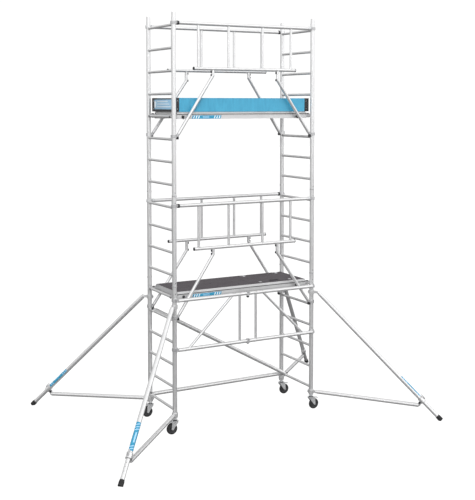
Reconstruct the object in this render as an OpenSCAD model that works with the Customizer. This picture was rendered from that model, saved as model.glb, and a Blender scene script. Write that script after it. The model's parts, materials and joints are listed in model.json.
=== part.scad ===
// Mobile tower scaffold: three stacked aluminium ladder frames at each end, a folding base gate,
// two hatch platforms, four advance guardrails, toe boards, braces, castors and stabilisers.
// Millimetres. X runs along the platforms, the front is -Y, and Z = 0 is the ground.
// The origin is on the ground, midway between the four posts.

/* [Tower] */
// Distance between the end frames, post centre to post centre
tower_l = 1800; // [1780:5:1850]
// Width of an end frame, post centre to post centre
tower_w = 680; // [670:2:700]
// Height of the lowest rung
first_rung = 270; // [268:1:274]
// Height from one rung to the next
rung_pitch = 250; // [248:1:252]
// Rungs in a base frame
base_rungs = 6; // [6]
// Rungs in a middle frame
middle_rungs = 4; // [4]
// Rungs in a top frame
top_rungs = 8; // [8]
// Height of a post joint above the rung below it
joint_rise = 85; // [80:1:90]

/* [Tubes] */
// Diameter of the posts
post_d = 50; // [50]
// Diameter of the rungs
rung_d = 30; // [28:1:32]
// Wall thickness of the aluminium tubes
wall = 2; // [1.5:0.1:2.4]
// Gap left between a welded tube's end and the tube that it meets
weld_gap = 0.15; // [0.1:0.05:0.3]

/* [Platforms] */
// Width over the side beams
platform_w = 590; // [585:1:596]
// Height of a side beam
beam_h = 68; // [64:1:72]
// Width of a side beam
beam_w = 30; // [28:1:32]
// Thickness of the plywood deck
deck_t = 12; // [9:1:12]
// Length of the hatch door along the platform
hatch_l = 656; // [620:2:660]

/* [Guardrails] */
// Diameter of the top rail
top_rail_d = 40; // [38:1:42]
// Diameter of the lower rail
low_rail_d = 38; // [36:1:40]
// Diameter of the upright bars
upright_d = 30; // [28:1:32]
// Diameter of the sloping legs
leg_d = 35; // [34:1:36]
// Height of the top rail above the rung that carries the platform
guard_h = 1020; // [1018:1:1030]

/* [Toe boards] */
// Height of the toe boards
toe_h = 150; // [140:5:160]
// Thickness of the long toe boards
toe_t = 20; // [16:1:22]

/* [Folding gate] */
// Diameter of the gate's rails
gate_rail_d = 40; // [38:1:42]
// Height of the gate's upper rail
gate_top_z = 1498; // [1494:1:1502]
// Height of the gate's lower rail
gate_low_z = 948; // [940:1:960]

/* [Stabilisers] */
// Distance of a foot from its post
reach = 1506; // [1502:1:1512]
// Diameter of the outer leg
stab_d = 50; // [50]
// Diameter of the telescopic inner tube
inner_d = 45; // [45]
// Diameter of the lower arm
arm_d = 45; // [44:1:46]
// Diameter of the rubber foot
foot_d = 56; // [56:1:60]

/* [Castors] */
// Diameter of the wheels
wheel_d = 125; // [125]
// Distance of the axle from the swivel axis
trail = 38; // [36:1:40]
// Width of the tyre
tyre_w = 32; // [30:1:34]

/* [Hidden] */
$fn = 48;

// Corners of the plan, as signs of X and Y
FL = [-1, -1];
FR = [1, -1];
RL = [-1, 1];
RR = [1, 1];
corners = [FL, FR, RL, RR];

// Colours
alu = [0.80, 0.81, 0.82];
cast_grey = [0.68, 0.69, 0.70];
hub_grey = [0.22, 0.22, 0.23];
black = [0.10, 0.10, 0.11];
ply_brown = [0.35, 0.32, 0.35];
blue = [0.25, 0.62, 0.84];

// Where the posts stand, and the heights that follow from the rungs
post_x = tower_l / 2;
post_y = tower_w / 2;
post_r = post_d / 2;
rung_r = rung_d / 2;
base_top_rung = base_rungs - 1;
middle_top_rung = base_top_rung + middle_rungs;
top_top_rung = middle_top_rung + top_rungs;
post_bottom = 185;
base_joint_z = rung_z(base_top_rung) + joint_rise;
middle_joint_z = rung_z(middle_top_rung) + joint_rise;
post_top_z = rung_z(top_top_rung) + 80;
spigot_top_z = post_top_z + 55;
spigot_shoulder_z = post_top_z + 12;
spigot_tip_r = 22.4;
spigot_r = 22.8;
spigot_bore_r = 19;
spigot_half = 100;
top_spigot_depth = 100;
clip_rise = 45;
// Radial gap of a fitting that sits still on a tube, and of one that turns or slides on it
still_gap = 0.3;
run_gap = 0.08;

// Platforms hang on these rungs
lower_deck_z = rung_z(base_top_rung);
upper_deck_z = rung_z(13);
deck_heights = [lower_deck_z, upper_deck_z];
beam_top = 40;
beam_bottom = beam_top - beam_h;
platform_half_l = 845;
platform_half_w = platform_w / 2;
deck_top = beam_top + deck_t;
deck_half_l = 842;
deck_half_w = platform_half_w - 15;
cross_w = 40;
cross_x = [-560, -280, 0];
hatch_x0 = 152;
hatch_x1 = hatch_x0 + hatch_l;
hatch_y0 = -208;
hatch_y1 = 228;
hatch_pin_y = 230;
hatch_pin_z = deck_top + 4.5;
hatch_hinge_x = [284, 738];
trim_front_y = [-235, -195];
trim_rear_y = [212, 252];
hook_y = 278;
hook_w = 32;

// Guardrails
low_rail_rise = 528;
guard_end_x = post_x - 42;
low_rail_end = 655;
upright_x = [-600, -220, 220, 600];
leg_top_x = 420;
leg_foot_rise = -215;
leg_foot_x = post_x - 38;
leg_end_x = post_x - 55;
short_elbow_rise = 455;
long_elbow_rise = 410;
claw_h = 34;
claw_r = 33;

// Gate
gate_y = -(post_y + 50);
gate_end_x = post_x - 22;
gate_mid_gap = 22;
gate_upright_x = 105;
gate_diag_top_x = 196;
gate_diag_low_x = 753;
gate_diag_d = 30;

// Stabilisers, in the vertical plane that runs outwards from the post
leg_r0 = 85;
leg_z0 = 1418;
foot_z = 35;
leg_len = norm([reach - leg_r0, foot_z - leg_z0]);
leg_dr = (reach - leg_r0) / leg_len;
leg_dz = (foot_z - leg_z0) / leg_len;
leg_start = 15;
leg_end = 1728;
collar_start = 1686;
collar_end = 1742;
collar_r = 32;
inner_start = 1253;
inner_end = 1990;
foot_start = 1975;
foot_end = 2027;
upper_coupler_z = 1420;
lower_coupler_z = 215;
coupler_h = 40;
coupler_r = 34;
arm_start = [70, 0, lower_coupler_z];
arm_end = [1270, 0, 159];

// Braces
brace_d = 46;
horizontal_brace_y = 285;
diagonal_brace_y = 235;

// Castors
wheel_r = wheel_d / 2;
hub_r = 44;
axle_r = 6;
king_r = 8;
crown_r = 22;
crown_z = [131, 150];
head_r = 40;
head_z = 144.2;
stem_neck_z = 157;
stem_neck_r = 16;
stem_collar_h = 8;
cheek_y = 21;
cheek_t = 4;
pedal_x = 30;
pedal_z = 137;
pedal_pin_r = 3;

function rung_z(i) = first_rung + rung_pitch * i;
function leg_point(s) = [leg_r0 + leg_dr * s, 0, leg_z0 + leg_dz * s];

// ---------- helpers ----------

// A round bar from p to q
module bar(p, q, r) {
    d = q - p;
    translate(p)
        rotate([0, acos(d[2] / norm(d)), atan2(d[1], d[0])])
            cylinder(h = norm(d), r = r);
}

// A round tube from p to q, open at both ends
module tube(p, q, r, t = wall) {
    u = (q - p) / norm(q - p);
    difference() {
        bar(p, q, r);
        bar(p - u, q + u, r - t);
    }
}

// Children once at the front and once turned half round to the rear
module front_and_rear() {
    for (turn = [0, 180])
        rotate([0, 0, turn]) children();
}

// Children at a corner, with local +X pointing outwards along the row's X
module castor_at(c) {
    translate([c[0] * post_x, c[1] * post_y, 0])
        rotate([0, 0, c[0] > 0 ? 0 : 180]) children();
}

// Children at a corner, with local +X pointing diagonally outwards
module stabiliser_at(c) {
    translate([c[0] * post_x, c[1] * post_y, 0])
        rotate([0, 0, atan2(c[1], c[0])]) children();
}

// A shell that wraps the outer side (-Y) of a post at the local origin, without its bore
module claw_body(h = claw_h) {
    difference() {
        cylinder(h = h, r = claw_r, center = true);
        translate([-claw_r - 1, 8, -h])
            cube([2 * claw_r + 2, claw_r, 2 * h]);
    }
}

// ---------- end frames ----------

// One ladder frame: two posts from z0 to z1 and the rungs numbered first to last
module ladder(side, z0, z1, first, last) {
    x = side * post_x;
    color(alu) {
        for (y = [-post_y, post_y])
            tube([x, y, z0 + 0.1], [x, y, z1 - 0.1], post_r);
        for (i = [first:last])
            difference() {
                tube([x, -post_y, rung_z(i)], [x, post_y, rung_z(i)], rung_r);
                for (y = [-post_y, post_y])
                    translate([x, y, rung_z(i) - rung_d])
                        cylinder(h = 2 * rung_d, r = post_r + weld_gap);
            }
    }
}

module base_frame(side) {
    ladder(side, post_bottom, base_joint_z, 0, base_top_rung);
}

module middle_frame(side) {
    ladder(side, base_joint_z, middle_joint_z, base_top_rung + 1, middle_top_rung);
}

module top_frame(side) {
    ladder(side, middle_joint_z, post_top_z, middle_top_rung + 1, top_top_rung);
}

// Inner sleeves that join the posts, and the open ones at the very top, which are drawn in at their tips
module frame_spigots() {
    color(cast_grey)
        for (c = corners)
            translate([c[0] * post_x, c[1] * post_y, 0]) {
                for (z = [base_joint_z, middle_joint_z])
                    tube([0, 0, z - spigot_half], [0, 0, z + spigot_half], spigot_r, spigot_r - spigot_bore_r);
                difference() {
                    union() {
                        bar([0, 0, post_top_z - top_spigot_depth], [0, 0, spigot_shoulder_z], spigot_r);
                        bar([0, 0, spigot_shoulder_z - 1], [0, 0, spigot_top_z], spigot_tip_r);
                    }
                    bar([0, 0, post_top_z - 2 * top_spigot_depth], [0, 0, spigot_top_z + 1], spigot_bore_r);
                }
            }
}

// Spring clips round the posts just above each joint, open on the inner side
module frame_lock_clips() {
    clip_r = post_r + 3.2;
    clip_h = 12;
    color(cast_grey)
        for (c = corners)
            for (z = [base_joint_z, middle_joint_z])
                translate([c[0] * post_x, c[1] * post_y, z + clip_rise])
                    rotate([0, 0, c[1] > 0 ? 180 : 0])
                        difference() {
                            union() {
                                cylinder(h = clip_h, r = clip_r, center = true);
                                translate([0, -clip_r - 3, 0])
                                    cube([14, 12, clip_h], center = true);
                            }
                            cylinder(h = clip_h + 2, r = post_r + still_gap, center = true);
                            translate([-clip_r, 12, -clip_h])
                                cube([2 * clip_r, clip_r, 2 * clip_h]);
                        }
}

// ---------- folding base gate ----------

// One half of the gate: two rails, an upright and a diagonal, on side -1 or +1
module gate_half(side) {
    rail_r = gate_rail_d / 2;
    color(alu) {
        for (z = [gate_low_z, gate_top_z])
            tube([side * gate_mid_gap, gate_y, z], [side * gate_end_x, gate_y, z], rail_r);
        difference() {
            tube([side * gate_upright_x, gate_y, gate_low_z],
                [side * gate_upright_x, gate_y, gate_top_z], upright_d / 2);
            gate_rails_cut(side);
        }
        difference() {
            tube([side * gate_diag_top_x, gate_y, gate_top_z],
                [side * gate_diag_low_x, gate_y, gate_low_z], gate_diag_d / 2);
            gate_rails_cut(side);
        }
    }
}

module gate_rails_cut(side) {
    for (z = [gate_low_z, gate_top_z])
        bar([0, gate_y, z], [side * post_x, gate_y, z], gate_rail_d / 2 + weld_gap);
}

// Middle hinges, the lock knob and tab under them, and the fittings that hold the gate on the posts
module fold_gate_hinges() {
    plug_r = gate_rail_d / 2 - wall - 0.1;
    color(cast_grey) {
        for (z = [gate_low_z, gate_top_z]) {
            union() {
                bar([-60, gate_y, z], [60, gate_y, z], plug_r);
                translate([0, gate_y, z])
                    cylinder(h = 48, r = 20.5, center = true);
            }
            for (side = [-1, 1])
                difference() {
                    union() {
                        translate([side * post_x, -post_y, z])
                            claw_body(36);
                        bar([side * (gate_end_x - 50), gate_y, z], [side * (gate_end_x + 1), gate_y, z], plug_r);
                        translate([side * (gate_end_x + 14) - 13.5, gate_y - 14, z - 17])
                            cube([27, 39, 34]);
                    }
                    translate([side * post_x, -post_y, z - 30])
                        cylinder(h = 60, r = post_r + still_gap);
                }
        }
    }
    color(black) {
        translate([0, gate_y, gate_top_z - 24.2 - 22])
            cylinder(h = 22, r = 13);
        translate([0, gate_y, gate_low_z - 24.2 - 10])
            cylinder(h = 10, r = 10);
    }
}

// ---------- platforms ----------

// Cross-section of a side beam: a box with a groove near the top of its outer face
module beam_profile() {
    groove = 2;
    difference() {
        polygon([
            [0, beam_bottom], [beam_w, beam_bottom], [beam_w, beam_top - 14],
            [beam_w - groove, beam_top - 14], [beam_w - groove, beam_top - 9],
            [beam_w, beam_top - 9], [beam_w, beam_top], [0, beam_top]
        ]);
        translate([2, beam_bottom + 2])
            square([beam_w - 6, beam_h - 4]);
    }
}

module side_beam() {
    inner_y = platform_half_w - beam_w;
    translate([platform_half_l, inner_y, 0])
        rotate([90, 0, -90])
            linear_extrude(2 * platform_half_l)
                mirror([1, 0]) beam_profile();
}

// A rectangular tube along Y between the side beams, with its top under the deck
module cross_beam(x0, x1, h = beam_top) {
    inner_y = platform_half_w - beam_w - weld_gap;
    difference() {
        translate([x0, -inner_y, beam_top - h])
            cube([x1 - x0, 2 * inner_y, h]);
        translate([x0 + wall, -inner_y - 1, beam_top - h + wall])
            cube([x1 - x0 - 2 * wall, 2 * inner_y + 2, h - 2 * wall]);
    }
}

// A rectangular tube along X beside the hatch
module hatch_trimmer(y) {
    x0 = hatch_x0 + 13 + weld_gap;
    x1 = 800 - weld_gap;
    difference() {
        translate([x0, y[0], 0])
            cube([x1 - x0, y[1] - y[0], beam_top]);
        translate([x0 - 1, y[0] + wall, wall])
            cube([x1 - x0 + 2, y[1] - y[0] - 2 * wall, beam_top - 2 * wall]);
    }
}

// The fixed leaf of a hatch hinge, with its pin
module hinge_leaf(x) {
    for (dx = [-32, 14])
        translate([x + dx, hatch_pin_y, hatch_pin_z])
            rotate([0, 90, 0]) cylinder(h = 18, r = 4);
    translate([x - 32, hatch_pin_y, hatch_pin_z])
        rotate([0, 90, 0]) cylinder(h = 64, r = 2);
    for (dx = [-32, 14])
        translate([x + dx, hatch_pin_y + 1, deck_top + 0.2])
            cube([18, 30, 2.5]);
}

module platform_frame(z) {
    color(alu)
        translate([0, 0, z]) {
            front_and_rear() side_beam();
            for (side = [-1, 1])
                cross_beam(side > 0 ? 800 : -platform_half_l, side > 0 ? platform_half_l : -800, 60);
            for (x = cross_x)
                cross_beam(x - cross_w / 2, x + cross_w / 2);
            cross_beam(hatch_x0 - 27, hatch_x0 + 13);
            hatch_trimmer(trim_front_y);
            hatch_trimmer(trim_rear_y);
            for (x = hatch_hinge_x)
                hinge_leaf(x);
        }
}

// The plywood: one long board and the three narrow ones round the hatch
module deck_boards() {
    gap = 2;
    base = beam_top + 0.1;
    t = deck_t - 0.1;
    color(ply_brown)
        for (z = deck_heights)
            translate([0, 0, z + base]) {
                translate([-deck_half_l, -deck_half_w, 0])
                    cube([deck_half_l + hatch_x0 - gap, 2 * deck_half_w, t]);
                translate([hatch_x0 - gap + 0.2, -deck_half_w, 0])
                    cube([deck_half_l - hatch_x0 + gap - 0.2, deck_half_w + hatch_y0 - gap, t]);
                translate([hatch_x0 - gap + 0.2, hatch_pin_y + 5, 0])
                    cube([deck_half_l - hatch_x0 + gap - 0.2, deck_half_w - hatch_pin_y - 5, t]);
                translate([hatch_x1 + gap, hatch_y0 - gap + 0.2, 0])
                    cube([deck_half_l - hatch_x1 - gap, hatch_pin_y + 5 - hatch_y0 + gap - 0.4, t]);
            }
}

// The hatch door with the moving knuckles of its two hinges
module trapdoor(z) {
    color(ply_brown)
        translate([0, 0, z])
            difference() {
                union() {
                    translate([hatch_x0, hatch_y0, beam_top + 0.3])
                        cube([hatch_l, hatch_y1 - hatch_y0, deck_t - 0.3]);
                    for (x = hatch_hinge_x) {
                        translate([x - 13, hatch_pin_y, hatch_pin_z])
                            rotate([0, 90, 0]) cylinder(h = 26, r = 4);
                        translate([x - 13, hatch_pin_y - 34, deck_top - 1])
                            cube([26, 34, 3]);
                    }
                }
                for (x = hatch_hinge_x)
                    translate([x - 20, hatch_pin_y, hatch_pin_z])
                        rotate([0, 90, 0]) cylinder(h = 40, r = 2 + run_gap);
            }
}

// Cast hooks that hang the platforms on the rungs, open downwards
module platform_hooks() {
    hook_r = 24;
    color(cast_grey)
        for (z = deck_heights)
            for (c = corners)
                translate([c[0] * post_x, c[1] * hook_y, z])
                    rotate([0, 0, c[0] > 0 ? 0 : 180])
                        difference() {
                            union() {
                                rotate([90, 0, 0])
                                    cylinder(h = hook_w, r = hook_r, center = true);
                                translate([platform_half_l + weld_gap - post_x, -hook_w / 2, -20])
                                    cube([post_x - platform_half_l, hook_w, 20 + hook_r]);
                            }
                            rotate([90, 0, 0])
                                cylinder(h = hook_w + 2, r = rung_r + still_gap, center = true);
                            translate([-rung_r - still_gap, -hook_w, -40])
                                cube([60, 2 * hook_w, 34]);
                        }
}

// ---------- guardrails ----------

// A leg in two mitred tubes: a stub hanging from the lower rail, then the slope down to the post
module guard_leg(side, z, elbow_rise) {
    top = [side * leg_top_x, -post_y, z + low_rail_rise];
    elbow = [side * leg_top_x, -post_y, z + elbow_rise];
    foot = guard_leg_point(side, z, elbow_rise, leg_end_x);
    slope = (foot - elbow) / norm(foot - elbow);
    mitre = slope + [0, 0, -1];
    lap = 30;
    difference() {
        tube(top, elbow - [0, 0, lap], leg_d / 2);
        half_space(elbow, mitre);
        bar(top - [lap, 0, 0], top + [lap, 0, 0], low_rail_d / 2 + weld_gap);
    }
    difference() {
        tube(elbow - lap * slope, foot, leg_d / 2);
        half_space(elbow + [0, 0, -weld_gap], -mitre);
    }
}

// Everything within reach on the side of point p that direction n points to
module half_space(p, n) {
    big = 200;
    translate(p)
        rotate([0, acos(n[2] / norm(n)), atan2(n[1], n[0])])
            translate([-big / 2, -big / 2, 0]) cube([big, big, big]);
}

// The point of a leg's axis at distance x from the tower's middle
function guard_leg_point(side, z, elbow_rise, x) =
    let (t = (x - leg_top_x) / (leg_foot_x - leg_top_x))
    [side * x, -post_y, z + elbow_rise + t * (leg_foot_rise - elbow_rise)];

// One guardrail as it hangs at the front; the left leg has the short stub
module guardrail(z) {
    top_z = z + guard_h;
    low_z = z + low_rail_rise;
    color(alu) {
        tube([-guard_end_x, -post_y, top_z], [guard_end_x, -post_y, top_z], top_rail_d / 2);
        tube([-low_rail_end, -post_y, low_z], [low_rail_end, -post_y, low_z], low_rail_d / 2);
        for (x = upright_x)
            difference() {
                tube([x, -post_y, low_z], [x, -post_y, top_z], upright_d / 2);
                bar([x - 50, -post_y, low_z], [x + 50, -post_y, low_z], low_rail_d / 2 + weld_gap);
                bar([x - 50, -post_y, top_z], [x + 50, -post_y, top_z], top_rail_d / 2 + weld_gap);
            }
        guard_leg(-1, z, short_elbow_rise);
        guard_leg(1, z, long_elbow_rise);
    }
}

// Claws on the rail and leg ends of one guardrail, and the caps of its lower rail
module guard_fittings(z) {
    top_z = z + guard_h;
    for (side = [-1, 1]) {
        elbow_rise = side < 0 ? short_elbow_rise : long_elbow_rise;
        color(cast_grey) {
            difference() {
                union() {
                    translate([side * post_x, -post_y, top_z]) claw_body();
                    bar([side * (guard_end_x - 45), -post_y, top_z], [side * (post_x - 28), -post_y, top_z],
                        top_rail_d / 2 - wall - 0.1);
                }
                translate([side * post_x, -post_y, top_z - 50])
                    cylinder(h = 100, r = post_r + still_gap);
            }
            difference() {
                union() {
                    translate([side * post_x, -post_y, z + leg_foot_rise]) claw_body();
                    bar(guard_leg_point(side, z, elbow_rise, leg_end_x - 30),
                        guard_leg_point(side, z, elbow_rise, post_x - 30), leg_d / 2 - wall - 0.1);
                }
                translate([side * post_x, -post_y, z + leg_foot_rise - 80])
                    cylinder(h = 160, r = post_r + still_gap);
            }
        }
        color(black)
            bar([side * (low_rail_end + 0.1), -post_y, z + low_rail_rise],
                [side * (low_rail_end + 7), -post_y, z + low_rail_rise], low_rail_d / 2);
    }
}

module front_guardrail(z) {
    guardrail(z);
}

module rear_guardrail(z) {
    rotate([0, 0, 180]) guardrail(z);
}

module guardrail_fittings() {
    for (z = deck_heights)
        front_and_rear() guard_fittings(z);
}

// ---------- toe boards ----------

corner_out_x = 874;
corner_out_y = 302.5;
corner_t = 24;

module toe_boards_long() {
    half = corner_out_x - corner_t - 0.2;
    color(blue)
        front_and_rear()
            translate([-half, -corner_out_y + 2, upper_deck_z + deck_top + 0.2])
                cube([2 * half, toe_t, toe_h]);
}

module toe_board_ends() {
    half = corner_out_y - corner_t - 0.2;
    color(black)
        front_and_rear()
            translate([-corner_out_x + 2, -half, upper_deck_z + deck_top + 0.2])
                cube([toe_t, 2 * half, toe_h]);
}

module toe_board_corners() {
    color(black)
        for (c = corners)
            translate([
                c[0] * (corner_out_x - corner_t / 2), c[1] * (corner_out_y - corner_t / 2),
                upper_deck_z + deck_top + 0.2 + toe_h / 2
            ])
                cube([corner_t, corner_t, toe_h], center = true);
}

// ---------- braces ----------

// A hook over a rung, and the plug that holds it in a brace whose end p points along u towards it
module brace_hook(side, y, rung, p, u, plug) {
    hook_r = 22;
    w = 30;
    color(cast_grey)
        difference() {
            union() {
                translate([side * post_x, y, rung])
                    rotate([90, 0, 0])
                        cylinder(h = w, r = hook_r, center = true);
                bar(p - 45 * u, p + plug * u, brace_d / 2 - wall - 0.1);
                translate([side * (post_x - 11) - 11, y - w / 2, rung + 4])
                    cube([22, w, 24]);
            }
            translate([side * post_x, y, rung])
                rotate([90, 0, 0])
                    cylinder(h = 4 * w, r = rung_r + still_gap, center = true);
            translate([side * post_x - rung_r - still_gap, y - w, rung - 50])
                cube([2 * (rung_r + still_gap), 2 * w, 50]);
        }
}

module horizontal_brace() {
    z = rung_z(0) + 12;
    end_x = post_x - 26;
    p = [-end_x, horizontal_brace_y, z];
    q = [end_x, horizontal_brace_y, z];
    color(alu) tube(p, q, brace_d / 2);
    brace_hook(-1, horizontal_brace_y, rung_z(0), p, [-1, 0, 0], 14);
    brace_hook(1, horizontal_brace_y, rung_z(0), q, [1, 0, 0], 14);
}

module diagonal_brace() {
    high = rung_z(4);
    low = rung_z(0);
    end_x = post_x - 40;
    p = [-end_x, diagonal_brace_y, high + 2];
    q = [end_x, diagonal_brace_y, low + 34];
    u = (q - p) / norm(q - p);
    color(alu) tube(p, q, brace_d / 2);
    brace_hook(-1, diagonal_brace_y, high, p, -u, 24);
    brace_hook(1, diagonal_brace_y, low, q, u, 24);
}

// ---------- castors ----------

// Stem in the post, the collar that the post stands on, the neck under it and the king pin of the swivel
module castor_stems() {
    color(cast_grey)
        for (c = corners)
            translate([c[0] * post_x, c[1] * post_y, 0])
                union() {
                    translate([0, 0, post_bottom - 1]) cylinder(h = 120, r = 22.7);
                    translate([0, 0, post_bottom - stem_collar_h]) cylinder(h = stem_collar_h, r = 28);
                    translate([0, 0, stem_neck_z]) cylinder(h = post_bottom - stem_neck_z, r = stem_neck_r);
                    translate([0, 0, crown_z[0] - 2]) cylinder(h = 40, r = king_r);
                }
}

// Side view of a cheek, from the crown down to the axle
module cheek_outline() {
    union() {
        polygon([
            [-32, crown_z[0] + 6], [38, crown_z[0] + 6], [46, crown_z[0] - 6],
            [trail + 12, wheel_r + 4], [trail - 12, wheel_r - 5]
        ]);
        translate([trail, wheel_r]) circle(r = 13);
    }
}

module castor_fork(c) {
    color(cast_grey)
        castor_at(c)
            difference() {
                union() {
                    translate([0, 0, crown_z[0]])
                        cylinder(h = crown_z[1] - crown_z[0], r = crown_r);
                    translate([0, 0, head_z])
                        cylinder(h = crown_z[1] - head_z, r = head_r);
                    for (y = [-cheek_y - cheek_t, cheek_y])
                        translate([0, y + cheek_t, 0])
                            rotate([90, 0, 0])
                                linear_extrude(cheek_t) cheek_outline();
                    translate([-32, -cheek_y - cheek_t, crown_z[0]])
                        cube([48, 2 * (cheek_y + cheek_t), 6]);
                    for (y = [-cheek_y - cheek_t, cheek_y])
                        translate([14, y, crown_z[0] - 2])
                            cube([24, cheek_t, 16]);
                    bar([trail, -cheek_y - 7, wheel_r], [trail, cheek_y + 7, wheel_r], axle_r);
                    bar([pedal_x, -cheek_y - 1, pedal_z], [pedal_x, cheek_y + 1, pedal_z], pedal_pin_r);
                }
                translate([0, 0, crown_z[0] - 10])
                    cylinder(h = 40, r = king_r + run_gap);
            }
}

// Hub with a wide boss at the axle
module castor_hub(c) {
    color(hub_grey)
        castor_at(c)
            translate([trail, 0, wheel_r])
                rotate([90, 0, 0])
                    rotate_extrude()
                        polygon([
                            [axle_r + run_gap, -20], [14, -20], [16, -9], [34, -7], [38, -13],
                            [hub_r, -14], [hub_r, 14], [38, 13], [34, 7], [16, 9], [14, 20],
                            [axle_r + run_gap, 20]
                        ]);
}

module castor_tyre(c) {
    half = tyre_w / 2;
    color(black)
        castor_at(c)
            translate([trail, 0, wheel_r])
                rotate([90, 0, 0])
                    rotate_extrude()
                        polygon([
                            [hub_r + 0.1, -half], [wheel_r - 6, -half], [wheel_r - 2, -half + 3],
                            [wheel_r, -half + 8], [wheel_r, half - 8], [wheel_r - 2, half - 3],
                            [wheel_r - 6, half], [hub_r + 0.1, half]
                        ]);
}

// Foot pedal of the brake, above the tyre on the outer side
module castor_pedal(c) {
    half = cheek_y - 5;
    color(cast_grey)
        castor_at(c)
            difference() {
                union() {
                    bar([pedal_x, -half, pedal_z], [pedal_x, half, pedal_z], 6.5);
                    translate([pedal_x, -half, pedal_z - 6])
                        cube([38, 2 * half, 6]);
                    translate([pedal_x + 36, -half, pedal_z - 6])
                        rotate([0, 12, 0]) cube([32, 2 * half, 6]);
                }
                bar([pedal_x, -half - 1, pedal_z], [pedal_x, half + 1, pedal_z], pedal_pin_r + run_gap);
            }
}

// ---------- stabilisers ----------

// A coupler ring round the post with a lug that reaches out to r
module coupler(z, lug_end, lug_low, lug_high) {
    translate([0, 0, z])
        cylinder(h = coupler_h, r = coupler_r, center = true);
    translate([post_r + 3, -9, lug_low])
        cube([lug_end - post_r - 3, 18, lug_high - lug_low]);
    translate([-coupler_r - 8, -8, z - 12])
        cube([20, 16, 24]);
}

module coupler_bore(z) {
    translate([0, 0, z])
        cylinder(h = 3 * coupler_h, r = post_r + run_gap, center = true);
}

// Outer leg, its upper coupler, and the clamping collar at its lower end
module stabiliser_leg(c) {
    bore_r = inner_d / 2 + run_gap;
    stabiliser_at(c) {
        color(alu)
            difference() {
                bar(leg_point(leg_start), leg_point(leg_end), stab_d / 2);
                bar(leg_point(leg_start - 1), leg_point(leg_end + 1), bore_r);
            }
        color(cast_grey) {
            difference() {
                union() {
                    coupler(upper_coupler_z, leg_r0, upper_coupler_z - 14, upper_coupler_z + 14);
                    bar(leg_point(-14), leg_point(leg_start + 45), bore_r - 0.2);
                }
                coupler_bore(upper_coupler_z);
            }
            difference() {
                bar(leg_point(collar_start), leg_point(collar_end), collar_r);
                bar(leg_point(collar_start - 1), leg_point(leg_end + 0.2), stab_d / 2 + weld_gap);
                bar(leg_point(collar_start), leg_point(collar_end + 1), bore_r);
            }
        }
    }
}

// Lower arm, its coupler and the plate that ties it to the collar
module stabiliser_arm(c) {
    u = (arm_end - arm_start) / norm(arm_end - arm_start);
    plug_r = arm_d / 2 - wall - 0.1;
    collar_mid = leg_point((collar_start + collar_end) / 2);
    stabiliser_at(c) {
        color(alu) tube(arm_start, arm_end, arm_d / 2);
        color(cast_grey) {
            difference() {
                union() {
                    coupler(lower_coupler_z, arm_start[0] - 2, lower_coupler_z - 14, lower_coupler_z + 14);
                    bar(arm_start - 14 * u, arm_start + 45 * u, plug_r);
                }
                coupler_bore(lower_coupler_z);
            }
            difference() {
                union() {
                    bar(arm_end - 45 * u, arm_end + 6 * u, plug_r);
                    translate([0, 5, 0])
                        rotate([90, 0, 0])
                            linear_extrude(10)
                                polygon([
                                    [arm_end[0] + 1, arm_end[2] - 14], [arm_end[0] + 20, arm_end[2] - 14],
                                    [collar_mid[0] + 12, collar_mid[2] - 14],
                                    [collar_mid[0] - 14, collar_mid[2] + 10], [arm_end[0] + 1, arm_end[2] + 14]
                                ]);
                }
                bar(leg_point(collar_start - 60), leg_point(collar_end + 20), collar_r + 0.2);
            }
        }
    }
}

// Inner tube that slides in the outer leg
module stabiliser_tube(c) {
    stabiliser_at(c)
        color(alu) tube(leg_point(inner_start), leg_point(inner_end), inner_d / 2);
}

// Rubber foot, cut level where it stands
module stabiliser_foot(c) {
    color(black)
        stabiliser_at(c)
            difference() {
                union() {
                    bar(leg_point(foot_start - 14), leg_point(foot_start + 2), foot_d / 2 - 3);
                    bar(leg_point(foot_start), leg_point(foot_end), foot_d / 2);
                }
                bar(leg_point(foot_start - 20), leg_point(inner_end + 0.2), inner_d / 2 + 0.1);
                translate([reach - 200, -200, -200])
                    cube([400, 400, 200]);
            }
}

base_frame(-1);  // base_frame_left
base_frame(1);  // base_frame_right
middle_frame(-1);  // middle_frame_left
middle_frame(1);  // middle_frame_right
top_frame(-1);  // top_frame_left
top_frame(1);  // top_frame_right
frame_spigots();
frame_lock_clips();
gate_half(-1);  // fold_gate_left
gate_half(1);  // fold_gate_right
fold_gate_hinges();
platform_frame(lower_deck_z);  // lower_platform_frame
platform_frame(upper_deck_z);  // upper_platform_frame
deck_boards();
platform_hooks();
trapdoor(lower_deck_z);  // lower_trapdoor
trapdoor(upper_deck_z);  // upper_trapdoor
front_guardrail(lower_deck_z);  // lower_front_guardrail
rear_guardrail(lower_deck_z);  // lower_rear_guardrail
front_guardrail(upper_deck_z);  // upper_front_guardrail
rear_guardrail(upper_deck_z);  // upper_rear_guardrail
guardrail_fittings();
toe_boards_long();
toe_board_ends();
toe_board_corners();
horizontal_brace();
diagonal_brace();
castor_stems();
castor_fork(FL);  // castor_fork_fl
castor_hub(FL);  // castor_hub_fl
castor_tyre(FL);  // castor_tyre_fl
castor_pedal(FL);  // castor_pedal_fl
castor_fork(FR);  // castor_fork_fr
castor_hub(FR);  // castor_hub_fr
castor_tyre(FR);  // castor_tyre_fr
castor_pedal(FR);  // castor_pedal_fr
castor_fork(RL);  // castor_fork_rl
castor_hub(RL);  // castor_hub_rl
castor_tyre(RL);  // castor_tyre_rl
castor_pedal(RL);  // castor_pedal_rl
castor_fork(RR);  // castor_fork_rr
castor_hub(RR);  // castor_hub_rr
castor_tyre(RR);  // castor_tyre_rr
castor_pedal(RR);  // castor_pedal_rr
stabiliser_leg(FL);  // stabiliser_leg_fl
stabiliser_arm(FL);  // stabiliser_arm_fl
stabiliser_tube(FL);  // stabiliser_tube_fl
stabiliser_foot(FL);  // stabiliser_foot_fl
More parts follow.
